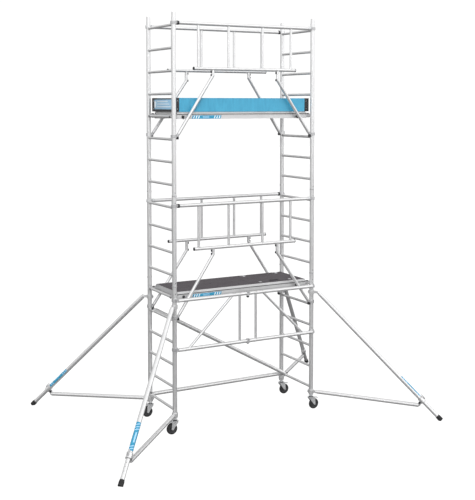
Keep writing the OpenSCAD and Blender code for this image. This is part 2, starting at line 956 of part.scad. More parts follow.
stabiliser_leg(FR);  // stabiliser_leg_fr
stabiliser_arm(FR);  // stabiliser_arm_fr
stabiliser_tube(FR);  // stabiliser_tube_fr
stabiliser_foot(FR);  // stabiliser_foot_fr
stabiliser_leg(RL);  // stabiliser_leg_rl
stabiliser_arm(RL);  // stabiliser_arm_rl
stabiliser_tube(RL);  // stabiliser_tube_rl
stabiliser_foot(RL);  // stabiliser_foot_rl
stabiliser_leg(RR);  // stabiliser_leg_rr
stabiliser_arm(RR);  // stabiliser_arm_rr
stabiliser_tube(RR);  // stabiliser_tube_rr
stabiliser_foot(RR);  // stabiliser_foot_rr
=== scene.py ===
"""Looks of the mobile tower scaffold: camera, studio, materials and the fine detail round the CAD frame."""

import json
import math

import bmesh
import bpy
from mathutils import Matrix, Vector


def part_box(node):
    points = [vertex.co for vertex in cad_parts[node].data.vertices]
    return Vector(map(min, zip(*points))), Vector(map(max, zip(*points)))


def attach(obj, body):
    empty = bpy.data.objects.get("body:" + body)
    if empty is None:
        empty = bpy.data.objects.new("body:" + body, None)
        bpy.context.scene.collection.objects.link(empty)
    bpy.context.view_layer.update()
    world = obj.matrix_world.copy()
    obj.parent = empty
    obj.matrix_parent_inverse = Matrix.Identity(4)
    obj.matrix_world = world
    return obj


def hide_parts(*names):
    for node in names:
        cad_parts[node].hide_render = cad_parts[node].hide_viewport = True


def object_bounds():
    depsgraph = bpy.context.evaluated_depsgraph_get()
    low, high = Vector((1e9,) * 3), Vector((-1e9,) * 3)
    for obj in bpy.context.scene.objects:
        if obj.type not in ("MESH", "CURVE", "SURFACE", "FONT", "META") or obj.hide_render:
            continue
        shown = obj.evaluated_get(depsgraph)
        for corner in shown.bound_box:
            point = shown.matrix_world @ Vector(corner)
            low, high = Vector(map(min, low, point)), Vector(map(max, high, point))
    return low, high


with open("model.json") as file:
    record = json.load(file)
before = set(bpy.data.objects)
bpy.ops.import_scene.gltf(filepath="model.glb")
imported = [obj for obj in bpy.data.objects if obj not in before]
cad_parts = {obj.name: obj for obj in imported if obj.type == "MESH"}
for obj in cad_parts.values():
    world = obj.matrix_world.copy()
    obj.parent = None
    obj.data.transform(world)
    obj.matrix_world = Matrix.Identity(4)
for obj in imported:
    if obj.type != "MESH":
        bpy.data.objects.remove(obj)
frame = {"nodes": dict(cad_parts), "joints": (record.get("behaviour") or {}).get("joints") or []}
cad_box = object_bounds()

X = Vector((1, 0, 0))
Y = Vector((0, 1, 0))
Z = Vector((0, 0, 1))
CORNERS = {"fl": (-1, -1), "fr": (1, -1), "rl": (-1, 1), "rr": (1, 1)}
JOINTS = {j["name"]: j for j in frame["joints"]}


# ---------- places, from the CAD frame ----------

def centre(node):
    """The middle of a CAD node's box."""
    low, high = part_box(node)
    return (low + high) / 2


def size(node):
    """The size of a CAD node's box."""
    low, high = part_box(node)
    return high - low


POST_R = size("base_frame_left").x / 2
POST_X = -centre("base_frame_left").x
POST_Y = size("base_frame_left").y / 2 - POST_R
RUNG_R = 0.015
RUNG_PITCH = 0.25
# The base frames' joint stands this far above their sixth rung
JOINT_RISE = 0.0849
FIRST_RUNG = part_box("base_frame_left")[1].z - JOINT_RISE - 5 * RUNG_PITCH
DECKS = {"lower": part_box("lower_trapdoor"), "upper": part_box("upper_trapdoor")}
DECK_RUNG = {"lower": 5, "upper": 13}
FRAMES = {"base": range(0, 6), "middle": range(6, 10), "top": range(10, 18)}


def rung_z(i):
    """Height of rung i, counted from the ground up."""
    return FIRST_RUNG + RUNG_PITCH * i


def post_at(key):
    """Foot of a post's axis on the ground."""
    sx, sy = CORNERS[key]
    return Vector((sx * POST_X, sy * POST_Y, 0))


# ---------- camera ----------

def make_camera():
    """The camera at the photograph's viewing angle, with the shift that its framing needs."""
    data = bpy.data.cameras.new("camera")
    data.sensor_width = 36
    data.lens = 68.6
    data.shift_y = -0.18
    data.clip_end = 200
    camera = bpy.data.objects.new("camera", data)
    camera.location = (-5.310, -9.779, 3.655)
    camera.rotation_euler = (math.radians(90 - 3.348), 0, math.radians(-28.863))
    bpy.context.scene.collection.objects.link(camera)
    bpy.context.scene.camera = camera


# ---------- materials ----------

class Nodes:
    """A short way to write a node tree."""

    def __init__(self, tree):
        self.tree = tree

    def node(self, kind, inputs=(), **settings):
        """A node with the given settings; inputs maps a socket to a number, a colour or another socket."""
        made = self.tree.nodes.new(kind)
        for key, value in settings.items():
            setattr(made, key, value)
        for key, value in dict(inputs).items():
            if isinstance(value, bpy.types.NodeSocket):
                self.tree.links.new(value, made.inputs[key])
            else:
                made.inputs[key].default_value = value
        return made

    def coords(self, kind="Object"):
        return self.node("ShaderNodeTexCoord").outputs[kind]

    def scaled(self, vector, scale):
        """The vector times scale, one number or three."""
        factors = scale if hasattr(scale, "__len__") else (scale,) * 3
        made = self.node("ShaderNodeVectorMath", {0: vector, 1: factors}, operation="MULTIPLY")
        return made.outputs[0]

    def noise(self, vector, scale, detail=3.0, roughness=0.55):
        made = self.node("ShaderNodeTexNoise", {
            "Vector": vector, "Scale": scale, "Detail": detail, "Roughness": roughness
        })
        return made.outputs["Fac"]

    def math(self, operation, a, b=0.0):
        return self.node("ShaderNodeMath", {0: a, 1: b}, operation=operation).outputs[0]

    def plus(self, a, b):
        return self.math("ADD", a, b)

    def times(self, a, b):
        return self.math("MULTIPLY", a, b)

    def span(self, value, low, high, to_low, to_high):
        """value from low..high mapped to to_low..to_high, clamped."""
        made = self.node("ShaderNodeMapRange", {
            "Value": value, "From Min": low, "From Max": high, "To Min": to_low, "To Max": to_high
        })
        return made.outputs["Result"]

    def mix(self, factor, a, b):
        """Colour a where factor is 0, colour b where it is 1."""
        made = self.node("ShaderNodeMix", {0: factor}, data_type="RGBA")
        for index, colour in ((6, a), (7, b)):
            if isinstance(colour, bpy.types.NodeSocket):
                self.tree.links.new(colour, made.inputs[index])
            else:
                made.inputs[index].default_value = (*colour, 1)
        return made.outputs[2]

    def bump(self, height, strength, distance, below=None):
        inputs = {"Height": height, "Strength": strength, "Distance": distance}
        if below is not None:
            inputs["Normal"] = below
        return self.node("ShaderNodeBump", inputs).outputs["Normal"]


class Surface(Nodes):
    """A node material around one Principled shader."""

    def __init__(self, name):
        self.material = bpy.data.materials.new(name)
        self.material.use_nodes = True
        super().__init__(self.material.node_tree)
        self.shader = self.tree.nodes["Principled BSDF"]

    def finish(self, colour, roughness, normal=None, metallic=0.0):
        """Links colour, roughness and normal; metallic is a constant on the shader's own socket."""
        self.tree.links.new(colour, self.shader.inputs["Base Color"])
        self.tree.links.new(roughness, self.shader.inputs["Roughness"])
        if normal is not None:
            self.tree.links.new(normal, self.shader.inputs["Normal"])
        self.shader.inputs["Metallic"].default_value = metallic
        return self.material


def aluminium(name, light, dark, rough):
    """Extruded aluminium: draw lines run along every tube, because they follow the normal round it."""
    n = Surface(name)
    place = n.coords()
    around = n.coords("Normal")
    drift = n.scaled(place, 0.35)
    lines_at = n.node("ShaderNodeVectorMath", {0: n.scaled(around, 22), 1: drift}, operation="ADD").outputs[0]
    lines = n.noise(lines_at, 1.0, 4.0, 0.7)
    clouds = n.noise(place, 7.0, 4.0)
    scuffs = n.span(n.noise(place, 90.0, 6.0, 0.75), 0.62, 0.72, 0.0, 1.0)
    tone = n.plus(n.times(lines, 0.55), n.times(clouds, 0.45))
    colour = n.mix(n.span(tone, 0.34, 0.66, 0.0, 1.0), dark, light)
    colour = n.mix(n.times(scuffs, 0.18), colour, tuple(0.72 * c for c in dark))
    roughness = n.span(n.plus(lines, n.times(scuffs, 0.3)), 0.3, 0.9, *rough)
    normal = n.bump(lines, 0.06, 0.0006)
    normal = n.bump(scuffs, 0.05, 0.0003, normal)
    return n.finish(colour, roughness, normal, metallic=0.76)


def cast_metal(name, light, dark):
    """Sand-cast aluminium: matt, grainy, a little darker in its mottling."""
    n = Surface(name)
    place = n.coords()
    grain = n.noise(place, 900.0, 3.0, 0.7)
    mottle = n.noise(place, 60.0, 4.0)
    colour = n.mix(n.span(n.plus(grain, mottle), 0.7, 1.3, 0.0, 1.0), dark, light)
    roughness = n.span(mottle, 0.3, 0.7, 0.46, 0.62)
    normal = n.bump(grain, 0.35, 0.0004)
    return n.finish(colour, roughness, normal, metallic=0.75)


def zinc_steel(name):
    """Zinc-plated pressed steel with a faint spangle."""
    n = Surface(name)
    place = n.coords()
    cells = n.node("ShaderNodeTexVoronoi", {"Vector": place, "Scale": 260.0}).outputs["Color"]
    cell_tone = n.node("ShaderNodeSeparateColor", {"Color": cells}).outputs[0]
    stain = n.noise(place, 34.0, 4.0)
    colour = n.mix(n.times(cell_tone, 0.5), (0.78, 0.79, 0.80), (0.62, 0.63, 0.65))
    colour = n.mix(n.span(stain, 0.55, 0.75, 0.0, 0.35), colour, (0.48, 0.47, 0.46))
    roughness = n.span(cell_tone, 0.0, 1.0, 0.34, 0.48)
    normal = n.bump(stain, 0.08, 0.0005)
    return n.finish(colour, roughness, normal, metallic=0.72)


def film_plywood(name):
    """Film-faced plywood: a slip-resistant wire print on the faces, wear, and plies on the cut edges."""
    n = Surface(name)
    place = n.coords()
    up = n.node("ShaderNodeSeparateXYZ", {"Vector": n.coords("Normal")}).outputs["Z"]
    is_face = n.span(n.math("ABSOLUTE", up), 0.6, 0.8, 0.0, 1.0)
    axes = n.node("ShaderNodeSeparateXYZ", {"Vector": place})
    ridges = []
    for sign in (1, -1):
        slant = n.plus(n.times(axes.outputs["X"], 380.0),
                       n.times(axes.outputs["Y"], sign * 640.0))
        ridges.append(n.math("ABSOLUTE", n.math("SINE", slant)))
    mesh = n.math("MINIMUM", ridges[0], ridges[1])
    print_height = n.span(mesh, 0.0, 0.35, 1.0, 0.0)
    wear = n.noise(place, 5.0, 6.0, 0.65)
    dust = n.noise(place, 140.0, 5.0, 0.7)
    face = n.mix(n.span(wear, 0.35, 0.68, 0.0, 1.0), (0.044, 0.035, 0.043), (0.064, 0.052, 0.062))
    face = n.mix(n.times(print_height, 0.30), face, (0.050, 0.042, 0.050))
    face = n.mix(n.span(dust, 0.60, 0.80, 0.0, 0.20), face, (0.20, 0.18, 0.19))
    plies = n.math("SINE", n.times(axes.outputs["Z"], 3300.0))
    grain = n.noise(n.scaled(place, (60, 60, 900)), 1.0, 3.0)
    edge = n.mix(n.span(plies, -0.3, 0.3, 0.0, 1.0), (0.030, 0.025, 0.024), (0.060, 0.048, 0.042))
    edge = n.mix(n.span(grain, 0.5, 0.8, 0.0, 0.5), edge, (0.018, 0.015, 0.014))
    colour = n.mix(is_face, edge, face)
    roughness = n.span(n.plus(wear, n.times(dust, 0.4)), 0.4, 1.0, 0.42, 0.68)
    normal = n.bump(print_height, 0.30, 0.0006)
    normal = n.bump(dust, 0.06, 0.0004, normal)
    return n.finish(colour, roughness, normal)


def coated_board(name, light, dark):
    """A colour-coated board with fine vertical mottling and rubbed edges."""
    n = Surface(name)
    place = n.coords()
    mottle = n.noise(n.scaled(place, (30, 30, 6)), 1.0, 4.0)
    fine = n.noise(place, 420.0, 3.0, 0.7)
    scratches = n.span(n.noise(n.scaled(place, (14, 14, 420)), 1.0, 5.0, 0.8), 0.66, 0.74, 0.0, 1.0)
    pale = tuple(0.55 * c + 0.40 for c in light)
    colour = n.mix(n.span(mottle, 0.3, 0.7, 0.0, 1.0), dark, light)
    colour = n.mix(n.times(scratches, 0.22), colour, pale)
    roughness = n.span(n.plus(fine, n.times(scratches, 0.4)), 0.3, 1.0, 0.34, 0.56)
    normal = n.bump(fine, 0.12, 0.0003)
    normal = n.bump(scratches, 0.10, 0.0002, normal)
    return n.finish(colour, roughness, normal)


def moulded(name, light, dark, rough=(0.42, 0.58), grain=700.0, depth=0.0003):
    """Moulded plastic or rubber with a fine grain, bloom and dust."""
    n = Surface(name)
    place = n.coords()
    grains = n.noise(place, grain, 2.0, 0.6)
    bloom = n.noise(place, 18.0, 5.0, 0.6)
    colour = n.mix(n.span(bloom, 0.35, 0.7, 0.0, 1.0), dark, light)
    colour = n.mix(n.span(grains, 0.62, 0.80, 0.0, 0.3), colour, tuple(1.7 * c + 0.01 for c in light))
    roughness = n.span(bloom, 0.3, 0.7, *rough)
    normal = n.bump(grains, 0.25, depth)
    return n.finish(colour, roughness, normal)


def label_film(name, ground, light):
    """Printed label film: a plain colour with a soft weave of print dots and slight fading."""
    n = Surface(name)
    place = n.coords()
    fade = n.noise(place, 9.0, 3.0)
    dots = n.noise(place, 1100.0, 1.0)
    colour = n.mix(n.span(fade, 0.3, 0.7, 0.0, 1.0), ground, light)
    colour = n.mix(n.span(dots, 0.55, 0.7, 0.0, 0.12), colour, (0.9, 0.9, 0.9))
    roughness = n.span(fade, 0.3, 0.7, 0.28, 0.40)
    return n.finish(colour, roughness, n.bump(dots, 0.05, 0.0001))


def make_materials():
    """Every material by the name that the pieces use."""
    return {
        "tube": aluminium("tube_aluminium", (0.86, 0.86, 0.865), (0.78, 0.78, 0.785), (0.28, 0.42)),
        "platform": aluminium("platform_aluminium", (0.78, 0.78, 0.785), (0.68, 0.68, 0.685), (0.44, 0.60)),
        "weld": cast_metal("weld_aluminium", (0.62, 0.62, 0.62), (0.40, 0.40, 0.40)),
        "cast": cast_metal("cast_aluminium", (0.68, 0.68, 0.69), (0.52, 0.52, 0.53)),
        "steel": zinc_steel("zinc_steel"),
        "ply": film_plywood("film_plywood"),
        "blue": coated_board("toe_board_blue", (0.056, 0.310, 0.470), (0.042, 0.250, 0.395)),
        "black": moulded("black_plastic", (0.035, 0.035, 0.038), (0.018, 0.018, 0.020)),
        "hub": moulded("hub_plastic", (0.060, 0.060, 0.063), (0.035, 0.035, 0.038)),
        "tyre": moulded("tyre_rubber", (0.030, 0.030, 0.031), (0.014, 0.014, 0.015),
                        rough=(0.60, 0.80), grain=380.0, depth=0.0005),
        "rubber": moulded("foot_rubber", (0.026, 0.026, 0.027), (0.012, 0.012, 0.013),
                          rough=(0.62, 0.82), grain=420.0, depth=0.0006),
        "label_blue": label_film("label_blue", (0.012, 0.205, 0.350), (0.020, 0.250, 0.410)),
        "label_pale": label_film("label_pale", (0.26, 0.47, 0.66), (0.32, 0.54, 0.72)),
        "label_white": label_film("label_white", (0.66, 0.74, 0.80), (0.72, 0.79, 0.85)),
    }


NODE_LOOKS = {
    "tube": ["horizontal_brace", "diagonal_brace", "frame_spigots"]
            + [f"{part}_{side}" for part in ("base_frame", "middle_frame", "top_frame", "fold_gate")
               for side in ("left", "right")]
            + [f"{level}_{side}_guardrail" for level in DECK_RUNG for side in ("front", "rear")]
            + [f"stabiliser_{part}_{key}" for part in ("leg", "arm", "tube") for key in CORNERS],
    "platform": ["lower_platform_frame", "upper_platform_frame"],
    "cast": ["frame_lock_clips", "fold_gate_hinges", "platform_hooks", "guardrail_fittings"],
    "steel": ["castor_stems"] + [f"castor_{part}_{key}" for part in ("fork", "pedal") for key in CORNERS],
    "ply": ["deck_boards", "lower_trapdoor", "upper_trapdoor"],
    "blue": ["toe_boards_long"],
    "black": ["toe_board_ends", "toe_board_corners"],
    "hub": [f"castor_hub_{key}" for key in CORNERS],
    "tyre": [f"castor_tyre_{key}" for key in CORNERS],
    "rubber": [f"stabiliser_foot_{key}" for key in CORNERS],
}


def dress_nodes():
    """Gives every CAD node its material."""
    for look, nodes in NODE_LOOKS.items():
        for name in nodes:
            node = frame["nodes"][name]
            node.data.materials.clear()
            node.data.materials.append(LOOK[look])


# ---------- studio ----------

def make_studio():
    """A white floor and backdrop, a sky that is brighter in front, and three soft lights."""
    scene = bpy.context.scene
    scene.view_settings.view_transform = "Standard"
    scene.world = studio_world()

    mesh = bmesh.new()
    turns = ((-1, -1), (1, -1), (1, 1), (-1, 1))
    corners = [mesh.verts.new((x * FLOOR_HALF, y * FLOOR_HALF, FLOOR_Z)) for x, y in turns]
    mesh.faces.new(corners)
    floor = mesh_object("studio_floor", mesh)
    floor.data.materials.append(floor_material())

    for name, (place, shape, watts) in LIGHTS.items():
        soft_light(name, place, shape, watts)


FLOOR_HALF = 60
FLOOR_Z = -0.001
# Each light's place, its width and height, and its power
LIGHTS = {
    "top_light": ((-1.5, -2.5, 10.5), (6.0, 5.0), 330),
    "key_light": ((-12.0, -16.0, 7.0), (9.0, 9.0), 2500),
    "fill_light": ((8.5, -6.5, 3.5), (5.0, 6.0), 330),
}
# Height in the sky, from straight down (0) to straight up (1), and the light that comes from there
SKY = ((0.0, 0.03), (0.35, 0.06), (0.46, 1.02), (0.72, 0.92), (1.0, 0.80))
# The way to the bright side of the sky, and the factors on its light at the dark and the bright side
BRIGHT_SIDE = (0.10, -0.99, 0.0)
SIDE_LIGHT = (0.50, 1.42)
BACKDROP = 1.05


def studio_world():
    """White where the camera looks past the tower; for all else a ramp of light, brighter at the front."""
    world = bpy.data.worlds.new("studio")
    world.use_nodes = True
    n = Nodes(world.node_tree)
    background = n.tree.nodes["Background"]
    background.inputs["Color"].default_value = (1, 1, 1, 1)
    way = n.coords("Generated")
    height = n.span(n.node("ShaderNodeSeparateXYZ", {0: way}).outputs["Z"], -1, 1, 0, 1)
    ramp = n.node("ShaderNodeValToRGB", {"Fac": height})
    stops = ramp.color_ramp.elements
    for index, (place, grey) in enumerate(SKY):
        stop = stops[index] if index < 2 else stops.new(place)
        stop.position = place
        stop.color = (grey, grey, grey, 1)
    facing = n.node("ShaderNodeVectorMath", {0: way, 1: BRIGHT_SIDE}, operation="DOT_PRODUCT")
    light = n.times(ramp.outputs["Color"], n.span(facing.outputs["Value"], -1, 1, *SIDE_LIGHT))
    seen_by = n.node("ShaderNodeLightPath").outputs["Is Camera Ray"]
    strength = n.node("ShaderNodeMix", {0: seen_by, 2: light, 3: BACKDROP}).outputs[0]
    n.tree.links.new(strength, background.inputs["Strength"])
    return world


def floor_material():
    """A white sweep to the camera, with the faintest contact shadow; a grey floor to everything else."""
    n = Surface("studio_floor")
    speckle = n.noise(n.coords(), 40.0, 3.0)
    colour = n.mix(speckle, (0.10, 0.10, 0.10), (0.13, 0.13, 0.13))
    roughness = n.span(speckle, 0.0, 1.0, 0.85, 0.95)
    seen_by = n.node("ShaderNodeLightPath").outputs["Is Camera Ray"]
    n.tree.links.new(n.times(seen_by, 0.97), n.shader.inputs["Emission Strength"])
    n.shader.inputs["Emission Color"].default_value = (1, 1, 1, 1)
    return n.finish(colour, roughness)


def soft_light(name, place, shape, power):
    """A rectangular area light that looks at the tower's middle and leaves no glint on the tubes."""
    data = bpy.data.lights.new(name, "AREA")
    data.shape = "RECTANGLE"
    data.size, data.size_y = shape
    data.energy = power
    light = bpy.data.objects.new(name, data)
    light.location = place
    aim = Vector((0, 0, cad_box[1].z / 2)) - light.location
    light.rotation_euler = aim.to_track_quat("-Z", "Y").to_euler()
    light.visible_glossy = False
    bpy.context.scene.collection.objects.link(light)


# ---------- mesh helpers ----------

SMOOTH_BELOW = math.radians(35)


def mesh_object(name, mesh):
    """Turns a bmesh into a linked object, shaded smooth except across sharp edges."""
    bmesh.ops.recalc_face_normals(mesh, faces=mesh.faces)
    data = bpy.data.meshes.new(name)
    for face in mesh.faces:
        face.smooth = True
    for edge in mesh.edges:
        edge.smooth = len(edge.link_faces) == 2 and edge.calc_face_angle(0) < SMOOTH_BELOW
    mesh.to_mesh(data)
    mesh.free()
    made = bpy.data.objects.new(name, data)
    bpy.context.scene.collection.objects.link(made)
    return made


def piece(name, mesh, look, body="tower"):
    """A finished piece with its look, riding on a body; its one slot holds the look's material."""
    made = mesh_object(name, mesh)
    made.data.materials.append(LOOK[look])
    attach(made, body)
    return made


def axes_for(direction):
    """Two unit vectors square to direction and to each other."""
    along = Vector(direction).normalized()
    helper = X if abs(along.x) < 0.8 else Y
    first = along.cross(helper).normalized()
    return first, along.cross(first)


def add_lathe(mesh, origin, direction, profile, sides=32):
    """Turns a profile of (distance along, radius) about an axis; a zero radius closes to a point."""
    along = Vector(direction).normalized()
    first, second = axes_for(along)
    turns = [2 * math.pi * k / sides for k in range(sides)]
    spokes = [math.cos(turn) * first + math.sin(turn) * second for turn in turns]
    rings = []
    for distance, radius in profile:
        middle = Vector(origin) + along * distance
        if radius < 1e-6:
            rings.append([mesh.verts.new(middle)])
        else:
            rings.append([mesh.verts.new(middle + radius * spoke) for spoke in spokes])
    for near, far in zip(rings, rings[1:]):
        for k in range(sides):
            after = k + 1
            corners = [near[k % len(near)], near[after % len(near)], far[after % len(far)], far[k % len(far)]]
            corners = list(dict.fromkeys(corners))
            if len(corners) > 2:
                mesh.faces.new(corners)
    return rings


def add_loop_lathe(mesh, origin, direction, profile, sides=32):
    """As add_lathe, for a ring whose profile closes on itself."""
    rings = add_lathe(mesh, origin, direction, profile, sides)
    last, start = rings[-1], rings[0]
    for k in range(sides):
        mesh.faces.new([last[k], last[(k + 1) % sides], start[(k + 1) % sides], start[k]])


def add_rod(mesh, start, end, radius, chamfer=0.0, sides=24):
    """A round bar with capped, chamfered ends."""
    start, end = Vector(start), Vector(end)
    length = (end - start).length
    profile = [(0, 0), (0, radius - chamfer), (chamfer, radius), (length - chamfer, radius),
               (length, radius - chamfer), (length, 0)]
    if chamfer == 0:
        profile = [(0, 0), (0, radius), (length, radius), (length, 0)]
    add_lathe(mesh, start, end - start, profile, sides)


def add_bead(mesh, path, radius, sides=8):
    """A closed round bead swept along a closed path of points."""
    count = len(path)
    middle = sum(path, Vector()) / count
    rings = []
    for k, point in enumerate(path):
        ahead = path[(k + 1) % count] - path[k - 1]
        outward = (point - middle).normalized()
        across = ahead.cross(outward).normalized()
        outward = across.cross(ahead).normalized()
        turns = [2 * math.pi * j / sides for j in range(sides)]
        spokes = [math.cos(turn) * outward + math.sin(turn) * across for turn in turns]
        rings.append([mesh.verts.new(point + radius * spoke) for spoke in spokes])
    for k in range(count):
        near, far = rings[k], rings[(k + 1) % count]
        for j in range(sides):
            mesh.faces.new([near[j], near[(j + 1) % sides], far[(j + 1) % sides], far[j]])


def add_block(mesh, a, b, bevel=0.0, matrix=None):
    """A box between two opposite corners with rounded edges, moved by matrix."""
    low, high = Vector(map(min, a, b)), Vector(map(max, a, b))
    part = bmesh.new()
    bmesh.ops.create_cube(part, size=1)
    bmesh.ops.scale(part, vec=high - low, verts=part.verts)
    bmesh.ops.translate(part, vec=(low + high) / 2, verts=part.verts)
    if bevel:
        bmesh.ops.bevel(part, geom=list(part.edges), offset=bevel, segments=2, affect="EDGES", profile=0.5)
    if matrix is not None:
        bmesh.ops.transform(part, matrix=matrix, verts=part.verts)
    merge(mesh, part)


def merge(mesh, part):
    """Adds the bmesh part to mesh and frees it."""
    data = bpy.data.meshes.new("part")
    part.to_mesh(data)
    part.free()
    mesh.from_mesh(data)
    bpy.data.meshes.remove(data)


def frame_matrix(origin, along, up=Z):
    """A matrix whose local X runs along, with local Z as near to up as it can be."""
    x_axis = Vector(along).normalized()
    y_axis = Vector(up).cross(x_axis).normalized()
    z_axis = x_axis.cross(y_axis)
    turn = Matrix((x_axis, y_axis, z_axis)).transposed().to_4x4()
    return Matrix.Translation(Vector(origin)) @ turn


WELD_R = 0.0022


def add_weld(mesh, main_point, main_along, main_r, point, along, radius, count=28):
    """A bead where a branch tube through point, running along, meets the outside of a main tube."""
    main_along, along = Vector(main_along).normalized(), Vector(along).normalized()
    first, second = axes_for(along)
    path = []
    for k in range(count):
        turn = 2 * math.pi * k / count
        start = Vector(point) + radius * (math.cos(turn) * first + math.sin(turn) * second)
        away = start - Vector(main_point)
        flat = away - away.dot(main_along) * main_along
        step = along - along.dot(main_along) * main_along
        a, b, c = step.dot(step), 2 * flat.dot(step), flat.dot(flat) - main_r ** 2
        root = math.sqrt(max(b * b - 4 * a * c, 0))
        path.append(start + along * ((-b - root) / (2 * a)))
    add_bead(mesh, path, WELD_R)


# ---------- end frames ----------

LEFT_RIGHT = (("left", -1), ("right", 1))
CLIP_INSET = 0.006
CLIP_FACE = 0.006
LOCK_HOLE_R = 0.0045
# The lock holes are this far below and above a clip
LOCK_HOLE_DROPS = (0.080, -0.035)


def make_frame_detail():
    """Weld beads round the rung ends."""
    for level, rungs in FRAMES.items():
        for side, sign in LEFT_RIGHT:
            welds = bmesh.new()
            for i in rungs:
                for end in (-1, 1):
                    post = Vector((sign * POST_X, end * POST_Y, rung_z(i)))
                    add_weld(welds, post, Z, POST_R, Vector((post.x, 0, post.z)), (0, end, 0), RUNG_R)
            piece(f"{level}_frame_{side}_welds", welds, "weld")


def make_lock_pins():
    """The round head of the snap pin in each lock clip, and black discs painted as the shade inside the lock
    holes below and above it.
    """
    low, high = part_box("frame_lock_clips")
    clip_heights = (low.z + CLIP_INSET, high.z - CLIP_INSET)
    for key in CORNERS:
        out = Vector((0, CORNERS[key][1], 0))
        pins, hole_shade_discs = bmesh.new(), bmesh.new()
        for clip_z in clip_heights:
            face = post_at(key) + Z * clip_z + out * (POST_R + CLIP_FACE)
            add_rod(pins, face, face + out * 0.008, 0.006, 0.0015)
            for drop in LOCK_HOLE_DROPS:
                # A black disc on the post: painted shade standing in for the dark inside of a lock hole
                spot = post_at(key) + Z * (clip_z - drop) + out * (POST_R - 0.0015)
                add_rod(hole_shade_discs, spot, spot + out * 0.0018, LOCK_HOLE_R)
        piece(f"lock_pins_{key}", pins, "steel")
        piece(f"lock_hole_shade_discs_{key}", hole_shade_discs, "black")


# ---------- folding gate ----------

GATE_RAIL_R = size("fold_gate_left").y / 2
GATE_Y = centre("fold_gate_left").y
GATE_LOW_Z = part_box("fold_gate_left")[0].z + GATE_RAIL_R
GATE_TOP_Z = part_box("fold_gate_left")[1].z - GATE_RAIL_R
GATE_UPRIGHT_X = 0.105
GATE_UPRIGHT_R = 0.015
GATE_DIAGONAL_R = 0.015
GATE_DIAGONAL_X = (0.196, 0.753)
GATE_RIVET_X = (0.034, 0.050, POST_X - 0.040, POST_X - 0.058)
GATE_KNOB_DROP = 0.0242
GATE_KNOB_RIBS = 12


def make_gate_detail():
    """Weld beads of the gate, its rivets, and the lock knob under the middle hinge."""
    for side, sign in LEFT_RIGHT:
        welds = bmesh.new()
        top = Vector((sign * GATE_DIAGONAL_X[0], GATE_Y, GATE_TOP_Z))
        low = Vector((sign * GATE_DIAGONAL_X[1], GATE_Y, GATE_LOW_Z))
        middle, slope = (top + low) / 2, low - top
        for rail_z, way in ((GATE_TOP_Z, 1), (GATE_LOW_Z, -1)):
            rail = Vector((0, GATE_Y, rail_z))
            upright = Vector((sign * GATE_UPRIGHT_X, GATE_Y, (GATE_TOP_Z + GATE_LOW_Z) / 2))
            add_weld(welds, rail, X, GATE_RAIL_R, upright, -Z * way, GATE_UPRIGHT_R)
            add_weld(welds, rail, X, GATE_RAIL_R, middle, slope * way, GATE_DIAGONAL_R)
        piece(f"fold_gate_{side}_welds", welds, "weld")

        rivets = bmesh.new()
        for rail_z in (GATE_TOP_Z, GATE_LOW_Z):
            for x in GATE_RIVET_X:
                add_rivet(rivets, (sign * x, GATE_Y - GATE_RAIL_R + 0.0004, rail_z), (0, -1, 0), 0.0042)
        piece(f"fold_gate_{side}_rivets", rivets, "steel")

    knob = bmesh.new()
    under_top = Vector((0, GATE_Y, GATE_TOP_Z - GATE_KNOB_DROP))
    add_lathe(knob, under_top, -Z, [(0, 0), (0, 0.009), (0.004, 0.009), (0.005, 0.0135), (0.007, 0.0148),
                                    (0.019, 0.0148), (0.0225, 0.0125), (0.0228, 0)])
    for k in range(GATE_KNOB_RIBS):
        turn = 2 * math.pi * k / GATE_KNOB_RIBS
        rib = under_top + Vector((0.0146 * math.cos(turn), 0.0146 * math.sin(turn), -0.013))
        add_rod(knob, rib + Z * 0.006, rib - Z * 0.006, 0.0018, 0.0006, 8)
    under_low = Vector((0, GATE_Y, GATE_LOW_Z - GATE_KNOB_DROP))
    add_lathe(knob, under_low, -Z, [(0, 0), (0, 0.0102), (0.008, 0.0105), (0.0105, 0.008), (0.0106, 0)])
    piece("fold_gate_lock_knobs", knob, "black")


def add_rivet(mesh, place, out, radius):
    """A domed rivet head on a surface."""
    add_lathe(mesh, place, out, [(0, radius), (radius * 0.35, radius * 0.9), (radius * 0.6, radius * 0.6),
                                 (radius * 0.7, 0)], 12)


# ---------- guardrails ----------

GUARD_TOP_R = 0.020
GUARD_LOW_R = 0.019
GUARD_UPRIGHT_R = 0.015
GUARD_UPRIGHT_X = (-0.600, -0.220, 0.220, 0.600)
GUARD_LEG_X = 0.420
GUARD_LEG_R = 0.0175
GUARD_LOW_END = 0.655
GUARD_HEIGHT = 1.020
GUARD_LOW_RISE = 0.528
GUARD_ELBOW_RISE = {-1: 0.455, 1: 0.410}
GUARD_FOOT_RISE = -0.215
# The sleeve at a rail's end and the cap of the low rail, as (distance along, radius)
GUARD_SLEEVE = [(0, GUARD_TOP_R + 0.0002), (0, 0.0215), (0.002, 0.0225), (0.022, 0.0235), (0.024, 0.0225),
                (0.024, GUARD_TOP_R + 0.0002)]
GUARD_CAP = [(0, 0.0192), (0, 0.0200), (0.006, 0.0200), (0.0085, 0.0185), (0.0095, 0.014), (0.0098, 0)]
GUARD_LATCH_HALF = Vector((0.010, 0.017, 0.016))
# A claw's tips are this far to each side of the post's axis
CLAW_TIP_X = 0.0292


